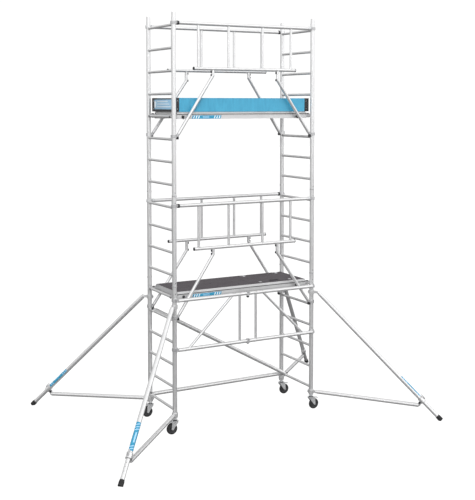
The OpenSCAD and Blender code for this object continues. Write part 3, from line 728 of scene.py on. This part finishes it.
def make_guardrail_detail():
    """Welds, bracket pads, caps, sleeves and latches of the guardrails; a rear one is a front one turned."""
    for level, rung in DECK_RUNG.items():
        base = rung_z(rung)
        for side, turn in (("front", 0), ("rear", math.pi)):
            about = Matrix.Rotation(turn, 4, "Z")
            low = Vector((0, -POST_Y, base + GUARD_LOW_RISE))
            top = Vector((0, -POST_Y, base + GUARD_HEIGHT))
            name = f"{level}_{side}_guardrail"

            welds = bmesh.new()
            for x in GUARD_UPRIGHT_X:
                upright = Vector((x, -POST_Y, base + 0.77))
                add_weld(welds, low, X, GUARD_LOW_R, upright, -Z, GUARD_UPRIGHT_R)
                add_weld(welds, top, X, GUARD_TOP_R, upright, Z, GUARD_UPRIGHT_R)
            for sign in (-1, 1):
                stub = Vector((sign * GUARD_LEG_X, -POST_Y, base + 0.47))
                add_weld(welds, low, X, GUARD_LOW_R, stub, Z, GUARD_LEG_R)

            black, rivets = bmesh.new(), bmesh.new()
            for sign in (-1, 1):
                end = low + X * sign * GUARD_LOW_END
                add_lathe(black, end - X * sign * 0.001, X * sign, GUARD_CAP)
                stub_x = sign * GUARD_LEG_X
                for rise in (GUARD_LOW_RISE - 0.034, GUARD_ELBOW_RISE[sign] + 0.002):
                    add_block(black, (stub_x - 0.0245, -POST_Y - 0.012, base + rise - 0.012),
                              (stub_x - 0.0165, -POST_Y + 0.012, base + rise + 0.012), 0.0025)
                for claw_z in (base + GUARD_HEIGHT, base + GUARD_FOOT_RISE):
                    for tip_x in (POST_X - CLAW_TIP_X, POST_X + CLAW_TIP_X):
                        tip = Vector((sign * tip_x, -POST_Y + 0.0082, claw_z))
                        low_tip, high_tip = Vector((-0.0045, 0, -0.015)), Vector((0.0045, 0.006, 0.015))
                        add_block(rivets, tip + low_tip, tip + high_tip, 0.0015)
                sleeve = top + X * sign * (POST_X - 0.062)
                add_loop_lathe(black if sign < 0 else rivets, sleeve, X * sign, GUARD_SLEEVE)
                latch = Vector((sign * (POST_X - 0.041), -POST_Y - 0.004, base + GUARD_FOOT_RISE - 0.018))
                add_block(black, latch - GUARD_LATCH_HALF, latch + GUARD_LATCH_HALF, 0.004)
                for x in (POST_X - 0.050, POST_X - 0.072):
                    add_rivet(rivets, (sign * x, -POST_Y - GUARD_TOP_R + 0.0004, top.z), (0, -1, 0), 0.004)
            for part in (welds, black, rivets):
                bmesh.ops.transform(part, matrix=about, verts=part.verts)
            piece(f"{name}_welds", welds, "weld")
            piece(f"{name}_pads_and_caps", black, "black")
            piece(f"{name}_rivets", rivets, "steel")


# ---------- platforms ----------

BEAM_Y = size("lower_platform_frame").y / 2
DECK_RISE = 0.052
LABEL_X = (-0.660, -0.300)
LABEL_Z = (-0.026, 0.0125)
LABEL_T = 0.0005


def add_slab(mesh, outline, y_near, y_far):
    """A flat prism: an outline of (x, z) points, from y_near to y_far."""
    near = [mesh.verts.new((x, y_near, z)) for x, z in outline]
    far = [mesh.verts.new((x, y_far, z)) for x, z in outline]
    mesh.faces.new(near)
    mesh.faces.new(far[::-1])
    for k in range(len(outline)):
        mesh.faces.new([near[k - 1], near[k], far[k], far[k - 1]])


def slash(x, low, high, width, lean):
    """Outline of one leaning bar."""
    return [(x, low), (x + width, low), (x + width + lean, high), (x + lean, high)]


DECK_HALF = (0.842, 0.280)
RIM_T = 0.0032
BEAM_TOP = 0.040
BEAM_GROOVE = (0.020, 0.028)
BEAM_END = 0.8445
LOCK_X = (-0.768, 0.712)
LOCK_BODY = [(0, 0), (0, 0.0165), (0.004, 0.0165), (0.005, 0.0125), (0.015, 0.0120), (0.0165, 0.0105),
             (0.0165, 0)]
HOOK_Y = 0.278
SCREW_R = 0.0048
# Where the deck's screws are: two long rows, and short rows across the boards
EDGE_SCREWS = [(-0.80 + 0.115 * k, y) for k in range(9) for y in (-0.262, 0.262)]
CROSS_SCREWS = [(x, y) for y in (-0.17, 0.0, 0.17) for x in (-0.825, -0.560, -0.280, 0.0)]
HATCH_HINGE_X = (0.284, 0.738)
HATCH_LATCH_X = 0.20


def make_platform_trim(level, base):
    """The edge strips that hold the deck, the ribs along the side beams with a black strip between them
    painted as the groove's shadow, and the black wind locks.
    """
    half_x, half_y = DECK_HALF
    rims, groove_shadow_strips, locks = bmesh.new(), bmesh.new(), bmesh.new()
    low, high = base + BEAM_TOP - 0.0005, base + DECK_RISE + 0.0008
    for sign in (-1, 1):
        y0, y1 = sign * (half_y + 0.0002), sign * (half_y + RIM_T)
        add_block(rims, (-half_x, y0, low), (half_x, y1, high), 0.0006)
        x0, x1 = sign * (half_x + 0.0002), sign * (half_x + 0.0024)
        add_block(rims, (x0, -half_y, low), (x1, half_y, high), 0.0006)
        face = sign * BEAM_Y
        for rib_low, rib_high in ((BEAM_GROOVE[1], BEAM_TOP), (BEAM_GROOVE[0] - 0.007, BEAM_GROOVE[0])):
            y0, y1 = face - sign * 0.0005, face + sign * 0.0022
            add_block(rims, (-BEAM_END, y0, base + rib_low), (BEAM_END, y1, base + rib_high), 0.0008)
        # A thin black strip on the beam face in the groove between the ribs: painted shadow, not a part of
        # its own
        y0, y1 = face - sign * 0.0005, face + sign * 0.0004
        add_block(groove_shadow_strips, (-BEAM_END, y0, base + BEAM_GROOVE[0]), (BEAM_END, y1, base + BEAM_GROOVE[1]))
        for lock_x in LOCK_X:
            seat = Vector((-sign * lock_x, face, base - 0.004))
            add_lathe(locks, seat - Y * sign * 0.0005, Y * sign, LOCK_BODY)
            y0, y1 = face + sign * 0.009, face + sign * 0.0155
            x0, x1 = seat.x - 0.0055, seat.x + 0.0055
            add_block(locks, (x0, y0, seat.z - 0.027), (x1, y1, seat.z + 0.012), 0.002)
    piece(f"{level}_platform_edge_strips", rims, "platform")
    piece(f"{level}_platform_groove_shadow_strips", groove_shadow_strips, "black")
    piece(f"{level}_platform_wind_locks", locks, "black")


def make_platform_detail():
    """Labels, deck screws, hook catches, hatch hinges, handles and latches of both platforms."""
    for level, rung in DECK_RUNG.items():
        base = rung_z(rung)
        make_platform_trim(level, base)
        low_z, high_z = base + LABEL_Z[0], base + LABEL_Z[1]
        face = -BEAM_Y
        ground, marks, pale = bmesh.new(), bmesh.new(), bmesh.new()
        add_slab(ground, [(LABEL_X[0], low_z), (LABEL_X[1], low_z), (LABEL_X[1] + 0.012, high_z),
                          (LABEL_X[0] + 0.012, high_z)], face - LABEL_T, face + LABEL_T)
        for x in [first + 0.030 * k for first in (LABEL_X[0] + 0.016, LABEL_X[1] - 0.085) for k in range(3)]:
            add_slab(marks, slash(x, low_z + 0.004, high_z - 0.004, 0.011, 0.012), face - 2 * LABEL_T, face)
        middle = sum(LABEL_X) / 2 - 0.045
        for k in range(2):
            bottom = low_z + 0.010 + 0.013 * k
            add_slab(pale, slash(middle, bottom, bottom + 0.006, 0.080, 0.003), face - 2 * LABEL_T, face)
        piece(f"{level}_platform_label", ground, "label_blue")
        piece(f"{level}_platform_label_bars", marks, "label_white")
        piece(f"{level}_platform_label_lines", pale, "label_pale")

        screws = bmesh.new()
        deck_z = base + DECK_RISE
        for x, y in EDGE_SCREWS + CROSS_SCREWS:
            add_rivet(screws, (x, y, deck_z - 0.0002), Z, SCREW_R)
        piece(f"{level}_deck_screws", screws, "black")

        catches, tips = bmesh.new(), bmesh.new()
        for sx, sy in CORNERS.values():
            y = sy * HOOK_Y
            x0, x1 = sx * (POST_X - 0.036), sx * (POST_X - 0.010)
            add_block(catches, (x0, y - 0.011, base + 0.022), (x1, y + 0.011, base + 0.033), 0.003)
            x0, x1 = sx * (POST_X + 0.0160), sx * (POST_X + 0.0255)
            add_block(tips, (x0, y - 0.013, base - 0.012), (x1, y + 0.013, base + 0.006), 0.0025)
        piece(f"{level}_hook_catches", catches, "black")
        piece(f"{level}_hook_tips", tips, "black")
        make_hatch_detail(level)


def make_hatch_detail(level):
    """The steel leaves of the hatch hinges, a folding handle and the latch at the free edge."""
    hinge = JOINTS[f"{level}_hatch_open"]["pos_m"]
    low, high = DECKS[level]
    top = rung_z(DECK_RUNG[level]) + DECK_RISE
    body = f"{level}_hatch"
    leaves = bmesh.new()
    for x in HATCH_HINGE_X:
        add_block(leaves, (x - 0.0134, hinge[1] - 0.0345, top - 0.0006),
                  (x + 0.0134, hinge[1] - 0.002, top + 0.0024), 0.0008)
        add_rod(leaves, (x - 0.0132, *hinge[1:]), (x + 0.0132, *hinge[1:]), 0.0043, 0.0006, 20)
        for dx in (-0.007, 0.007):
            add_rivet(leaves, (x + dx, hinge[1] - 0.026, top + 0.0022), Z, 0.0032)
    piece(f"{level}_hatch_hinge_leaves", leaves, "steel", body)

    x = (low.x + high.x) / 2
    y, z = low.y + 0.045, top + 0.004
    handle = bmesh.new()
    add_block(handle, (x - 0.060, y - 0.021, top - 0.0005), (x + 0.060, y + 0.021, top + 0.0018), 0.0008)
    for dx in (-0.045, 0.045):
        add_rod(handle, (x + dx, y - 0.012, z), (x + dx, y + 0.012, z), 0.0035, 0.001, 16)
    add_rod(handle, (x - 0.047, y - 0.010, z), (x + 0.047, y - 0.010, z), 0.0032, 0.001, 16)
    piece(f"{level}_hatch_handle", handle, "black", body)

    latch = bmesh.new()
    for at in (x - HATCH_LATCH_X, x + HATCH_LATCH_X):
        add_block(latch, (at - 0.016, low.y - 0.001, top - 0.0005),
                  (at + 0.016, low.y + 0.030, top + 0.0026), 0.001)
    piece(f"{level}_hatch_latches", latch, "steel", body)


# ---------- toe boards ----------

TRIM_T = 0.0035


def make_toe_board_detail():
    """The label plates on the end boards, the capping strips and the corner clips."""
    low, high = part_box("toe_board_ends")
    long_low, long_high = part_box("toe_boards_long")
    corner_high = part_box("toe_board_corners")[1]
    for side, sign in LEFT_RIGHT:
        outer = sign * high.x
        plate, bars = bmesh.new(), bmesh.new()
        half = high.y - 0.024
        x0, x1 = outer - sign * 0.0005, outer + sign * 0.0014
        add_block(plate, (x0, -half, low.z + 0.026), (x1, half, high.z - 0.014), 0.0006)
        x0, x1 = outer, outer + sign * 0.0022
        square_y = -sign * half * 0.86
        add_block(bars, (x0, square_y - 0.022, low.z + 0.044), (x1, square_y + 0.022, high.z - 0.034), 0.0006)
        for k in range(3):
            bar_z = low.z + 0.050 + 0.030 * k
            y0, y1 = -sign * half * 0.62, sign * half * (0.80 - 0.16 * k)
            add_block(bars, (x0, y0, bar_z), (x1, y1, bar_z + 0.009), 0.0006)
        piece(f"toe_board_{side}_plate", plate, "label_pale")
        piece(f"toe_board_{side}_plate_bars", bars, "label_white")
    trims, clips = bmesh.new(), bmesh.new()
    for sign in (-1, 1):
        y0, y1 = sign * (long_high.y - 0.0202), sign * (long_high.y + 0.0008)
        add_block(trims, (long_low.x, y0, long_high.z - 0.001),
                  (long_high.x, y1, long_high.z + TRIM_T), 0.001)
    caps = bmesh.new()
    for sx, sy in CORNERS.values():
        corner = Vector((sx * corner_high.x, sy * corner_high.y, 0))
        for leg_x, leg_y, rise in ((0.058, 0.0225, 0.0042), (0.0225, 0.062, 0.0040)):
            add_block(caps, corner + Vector((-sx * leg_x, -sy * leg_y, low.z + 0.0002)),
                      corner + Vector((-sx * 0.0001, -sy * 0.0001, high.z + rise)), 0.0015)
        for z in (low.z + 0.030, high.z - 0.030):
            add_rivet(clips, corner + Vector((-sx * 0.0003, -sy * 0.040, z)), (sx, 0, 0), 0.0045)
            add_rivet(clips, corner + Vector((-sx * 0.036, -sy * 0.0003, z)), (0, sy, 0), 0.0045)
    piece("toe_board_corner_caps", caps, "black")
    piece("toe_board_top_trims", trims, "blue")
    piece("toe_board_corner_rivets", clips, "steel")


# ---------- braces ----------

# Side, place along Y and rung of each brace hook
BRACE_HOOKS = ((-1, 0.285, 0), (1, 0.285, 0), (-1, 0.235, 4), (1, 0.235, 0))


def make_brace_detail():
    """Black release catches on the brace hooks, and their rivets."""
    catches, rivets = bmesh.new(), bmesh.new()
    for sign, y, rung in BRACE_HOOKS:
        z = rung_z(rung)
        x0, x1 = sign * (POST_X - 0.004), sign * (POST_X + 0.0235)
        add_block(catches, (x0, y - 0.011, z + 0.018), (x1, y + 0.011, z + 0.0275), 0.003)
        add_rivet(rivets, (sign * (POST_X - 0.011), y - 0.0152, z + 0.017), (0, -1, 0), 0.0045)
    piece("brace_hook_catches", catches, "black")
    piece("brace_hook_rivets", rivets, "steel")


# ---------- castors ----------

CROWN_TOP = 0.150


def make_castor(key):
    """Tyre, hub, pedal, bolts and swivel race of one castor."""
    out = X * CORNERS[key][0]
    hub_at = centre(f"castor_tyre_{key}")
    tyre_r = size(f"castor_tyre_{key}").z / 2
    half = size(f"castor_tyre_{key}").y / 2
    hub_r = size(f"castor_hub_{key}").z / 2
    pivot = Vector(JOINTS[f"castor_brake_{key}"]["pos_m"])

    tyre = bmesh.new()
    side = [(0.0, hub_r + 0.0001), (0.0, hub_r + 0.004), (-0.0006, hub_r + 0.007), (0.0004, tyre_r - 0.0065),
            (0.0020, tyre_r - 0.0030), (0.0050, tyre_r - 0.0009), (0.0085, tyre_r), (0.0092, tyre_r - 0.0014),
            (0.0104, tyre_r - 0.0014), (0.0111, tyre_r)]
    profile = [(-half + d + 0.0006, r) for d, r in side]
    profile += [(half - d - 0.0006, r) for d, r in reversed(side)]
    add_loop_lathe(tyre, hub_at, Y, profile, 64)
    made = piece(f"castor_tyre_{key}_tread", tyre, "tyre", f"castor_wheel_{key}")
    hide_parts(f"castor_tyre_{key}")

    hub = bmesh.new()
    web = [(-0.0195, 0.0064), (-0.0195, 0.0125), (-0.0185, 0.0138), (-0.0060, 0.0155), (-0.0040, 0.018),
           (-0.0040, 0.0340), (-0.0125, 0.0375), (-0.0140, 0.0390), (-0.0140, hub_r)]
    add_loop_lathe(hub, hub_at, Y, web + [(-d, r) for d, r in reversed(web)], 48)
    for k in range(6):
        turn = math.pi * k / 3
        along = Vector((math.cos(turn), 0, math.sin(turn)))
        spot = frame_matrix(hub_at, along, Y.cross(along))
        for face in (-1, 1):
            y0, y1 = face * 0.0036, face * 0.0105
            add_block(hub, (0.0135, y0, -0.0018), (0.0372, y1, 0.0018), 0.0006, spot)
    made = piece(f"castor_hub_{key}_spokes", hub, "hub", f"castor_wheel_{key}")
    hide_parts(f"castor_hub_{key}")

    pedal = bmesh.new()
    local = frame_matrix(pivot, out)
    add_rod(pedal, pivot - Y * 0.0158, pivot + Y * 0.0158, 0.0068, 0.001)
    add_block(pedal, (-0.001, -0.0150, -0.0060), (0.039, 0.0150, -0.0005), 0.0016, local)
    toe = local @ Matrix.Translation((0.036, 0, 0)) @ Matrix.Rotation(math.radians(12), 4, "Y")
    add_block(pedal, (0, -0.0165, -0.0060), (0.0315, 0.0165, 0.0), 0.0022, toe)
    for k in range(4):
        x = 0.0065 * k
        add_block(pedal, (0.005 + x, -0.0135, -0.0005), (0.0078 + x, 0.0135, 0.0012), 0.0005, toe)
    made = piece(f"castor_pedal_{key}_ribbed", pedal, "steel", f"castor_brake_{key}")
    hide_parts(f"castor_pedal_{key}")

    hardware = bmesh.new()
    for face in (-1, 1):
        seat = hub_at + Y * face * 0.0251
        add_lathe(hardware, seat, Y * face, [(0, 0.0108), (0.0012, 0.0108), (0.0014, 0.0098)], 28)
        nut = [(0, 0.0098), (0.0058, 0.0098), (0.0066, 0.0088), (0.0066, 0)]
        add_lathe(hardware, seat + Y * face * 0.0012, Y * face, nut, 6)
        add_rivet(hardware, pivot + Y * face * 0.0221, Y * face, 0.0055)
    piece(f"castor_bolts_{key}", hardware, "steel", f"castor_{key}")

    race = bmesh.new()
    ring = [(0.0002, 0.0095), (0.0002, 0.0215), (0.0020, 0.0232), (0.0046, 0.0232), (0.0062, 0.0215),
            (0.0062, 0.0095)]
    add_loop_lathe(race, post_at(key) + Z * CROWN_TOP, Z, ring, 40)
    piece(f"castor_race_{key}", race, "black", f"castor_{key}")


# ---------- stabilisers ----------

LEG_R = 0.025
INNER_R = 0.0225
FOOT_R = 0.028
COLLAR_R = 0.032
# Distances along a leg, downwards from the middle of its inner tube
COLLAR_AT = (0.0645, 0.1205)
LABEL_AT = (-0.2595, 0.0465)
FOOT_AT = (0.3395, 0.4055)
INNER_END = 0.3685
COUPLER_Z = (1.420, 0.215)
# The first of the nine lock holes on an inner tube, and the pitch between them
HOLE_START = -0.10
HOLE_PITCH = 0.045
HOLE_R = 0.0040
# A label covers this much of the leg to each side of its middle, which sits this far round to the right
LABEL_TURN = math.radians(77)
LABEL_ROLL = math.radians(33)


def make_stabiliser(key):
    """Label, clamp, tie knob, black discs painted as the shade in the lock holes, ribbed foot, coupler bolts
    and wing nuts of one stabiliser.
    """
    along = Vector(JOINTS[f"stabiliser_extend_{key}"]["axis"]).normalized()
    middle = centre(f"stabiliser_tube_{key}")
    out = Vector((along.x, along.y, 0)).normalized()
    upper = along.cross(out.cross(Z)).normalized()
    if upper.z < 0:
        upper = -upper
    across = along.cross(upper)
    label_up = math.cos(LABEL_ROLL) * upper + math.sin(LABEL_ROLL) * Z.cross(out)
    leg_body, foot_body = f"stabiliser_{key}", f"stabiliser_foot_{key}"

    band = bmesh.new()
    start, end = LABEL_AT
    add_wrap(band, middle + along * (start + end) / 2, along, label_up, LEG_R, 0.0005, end - start, 0.0)
    piece(f"stabiliser_label_{key}", band, "label_blue", leg_body)
    bars = bmesh.new()
    for s in (start + 0.022, start + 0.050, start + 0.078, end - 0.050, end - 0.022):
        add_wrap(bars, middle + along * s, along, label_up, LEG_R, 0.0008, 0.010, 0.011)
    lines = bmesh.new()
    add_wrap(lines, middle + along * (start + 0.165), along, label_up, LEG_R, 0.0008, 0.110, 0.0,
             math.radians(17))
    piece(f"stabiliser_label_bars_{key}", bars, "label_pale", leg_body)
    piece(f"stabiliser_label_lines_{key}", lines, "label_pale", leg_body)

    clamp = bmesh.new()
    collar = middle + along * sum(COLLAR_AT) / 2
    spot = frame_matrix(collar, along, upper)
    add_block(clamp, (-0.013, -0.008, COLLAR_R - 0.004), (0.013, 0.008, COLLAR_R + 0.012), 0.002, spot)
    add_block(clamp, (-0.050, -0.0075, COLLAR_R + 0.006), (0.012, 0.0075, COLLAR_R + 0.012), 0.0024, spot)
    piece(f"stabiliser_clamp_{key}", clamp, "cast", leg_body)
    knob = bmesh.new()
    seat = collar - upper * (COLLAR_R + 0.012) + along * 0.006
    for way in (-1, 1):
        add_lathe(knob, seat + across * way * 0.0048, across * way, [
            (0, 0), (0, 0.0095), (0.003, 0.0125), (0.010, 0.0125), (0.012, 0.0105), (0.012, 0)], 20)
    piece(f"stabiliser_tie_knob_{key}", knob, "black", leg_body)
    rings = bmesh.new()
    bead = [(-0.003, COLLAR_R - 0.0005), (-0.002, COLLAR_R + 0.0013), (0.002, COLLAR_R + 0.0013),
            (0.003, COLLAR_R - 0.0005)]
    for s in COLLAR_AT:
        add_loop_lathe(rings, middle + along * s, along, bead, 40)
    pin_at = collar + upper * (COLLAR_R + 0.006)
    add_rod(rings, pin_at - across * 0.012, pin_at + across * 0.012, 0.003, 0.0008, 16)
    piece(f"stabiliser_collar_rings_{key}", rings, "cast", leg_body)

    hole_shade_discs = bmesh.new()
    for k in range(9):
        spot = middle + along * (HOLE_START + HOLE_PITCH * k)
        # A black disc on the inner tube: painted shade standing in for the dark inside of a lock hole
        add_rod(hole_shade_discs, spot + upper * (INNER_R - 0.001), spot + upper * (INNER_R + 0.00004), HOLE_R, 0, 16)
    piece(f"stabiliser_tube_holes_{key}", hole_shade_discs, "black", foot_body)

    foot = bmesh.new()
    s0, s1 = FOOT_AT
    profile = [(s0, INNER_R + 0.0002), (s0, 0.0240), (s0 + 0.0015, 0.0250), (s0 + 0.0120, 0.0250),
               (s0 + 0.0140, FOOT_R - 0.001), (s0 + 0.0155, FOOT_R)]
    for k in range(3):
        groove = s0 + 0.0215 + 0.013 * k
        profile += [(groove, FOOT_R), (groove + 0.001, FOOT_R - 0.0018), (groove + 0.004, FOOT_R - 0.0018),
                    (groove + 0.005, FOOT_R)]
    profile += [(s1 - 0.002, FOOT_R), (s1, FOOT_R - 0.002), (s1, 0)]
    closing = [(INNER_END + 0.0001, 0), (INNER_END + 0.0001, INNER_R + 0.0002)]
    rings = add_lathe(foot, middle, along, closing + profile, 48)
    cut = bmesh.ops.bisect_plane(foot, geom=list(foot.verts) + list(foot.edges) + list(foot.faces),
                                 plane_co=(0, 0, 0), plane_no=(0, 0, -1), clear_outer=True)
    rim = [e for e in cut["geom_cut"] if isinstance(e, bmesh.types.BMEdge)]
    bmesh.ops.contextual_create(foot, geom=rim)
    made = piece(f"stabiliser_foot_{key}_ribbed", foot, "rubber", foot_body)
    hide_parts(f"stabiliser_foot_{key}")

    bolts, wings = bmesh.new(), bmesh.new()
    tangent = Z.cross(out)
    for coupler_z in COUPLER_Z:
        eye = post_at(key) + Z * coupler_z - out * 0.036
        add_rod(bolts, eye - tangent * 0.017, eye + tangent * 0.022, 0.004, 0.0008, 16)
        head = [(0, 0.0075), (0.006, 0.0075), (0.0066, 0.0068), (0.0066, 0)]
        boss = [(0, 0.0088), (0.008, 0.0078), (0.010, 0.0050), (0.010, 0)]
        add_lathe(bolts, eye - tangent * 0.0082, -tangent, head, 6)
        add_lathe(wings, eye + tangent * 0.0082, tangent, boss, 20)
        for way in (-1, 1):
            wing = frame_matrix(eye + tangent * 0.012, Z * way, tangent)
            add_block(wings, (0.005, -0.0022, -0.004), (0.021, 0.0022, 0.010), 0.0018, wing)
        lug = post_at(key) + Z * coupler_z + out * 0.056
        add_rod(bolts, lug - tangent * 0.0135, lug + tangent * 0.0135, 0.006, 0.001, 16)
    piece(f"stabiliser_coupler_bolts_{key}", bolts, "steel", leg_body)
    piece(f"stabiliser_wing_nuts_{key}", wings, "cast", leg_body)


def add_wrap(mesh, middle, along, upper, radius, proud, width, lean, turn=LABEL_TURN):
    """A film that lies on the upper side of a tube, turn to each side, and leans along the tube."""
    across = along.cross(upper)
    count = 28
    grid = []
    for k in range(count + 1):
        angle = turn * (2 * k / count - 1)
        flat = math.sin(angle) * across + math.cos(angle) * upper
        shift = lean * math.sin(angle)
        corners = ((-width / 2, radius + 0.0001), (-width / 2, radius + proud), (width / 2, radius + proud),
                   (width / 2, radius + 0.0001))
        grid.append([mesh.verts.new(middle + r * flat + along * (x + shift)) for x, r in corners])
    for near, far in zip(grid, grid[1:]):
        for k in range(4):
            mesh.faces.new([near[k], near[k - 1], far[k - 1], far[k]])
    mesh.faces.new(grid[0])
    mesh.faces.new(grid[-1][::-1])


# ---------- everything ----------

make_camera()
LOOK = make_materials()
dress_nodes()
make_studio()
make_frame_detail()
make_lock_pins()
make_gate_detail()
make_guardrail_detail()
make_platform_detail()
make_toe_board_detail()
make_brace_detail()
for corner in CORNERS:
    make_castor(corner)
    make_stabiliser(corner)
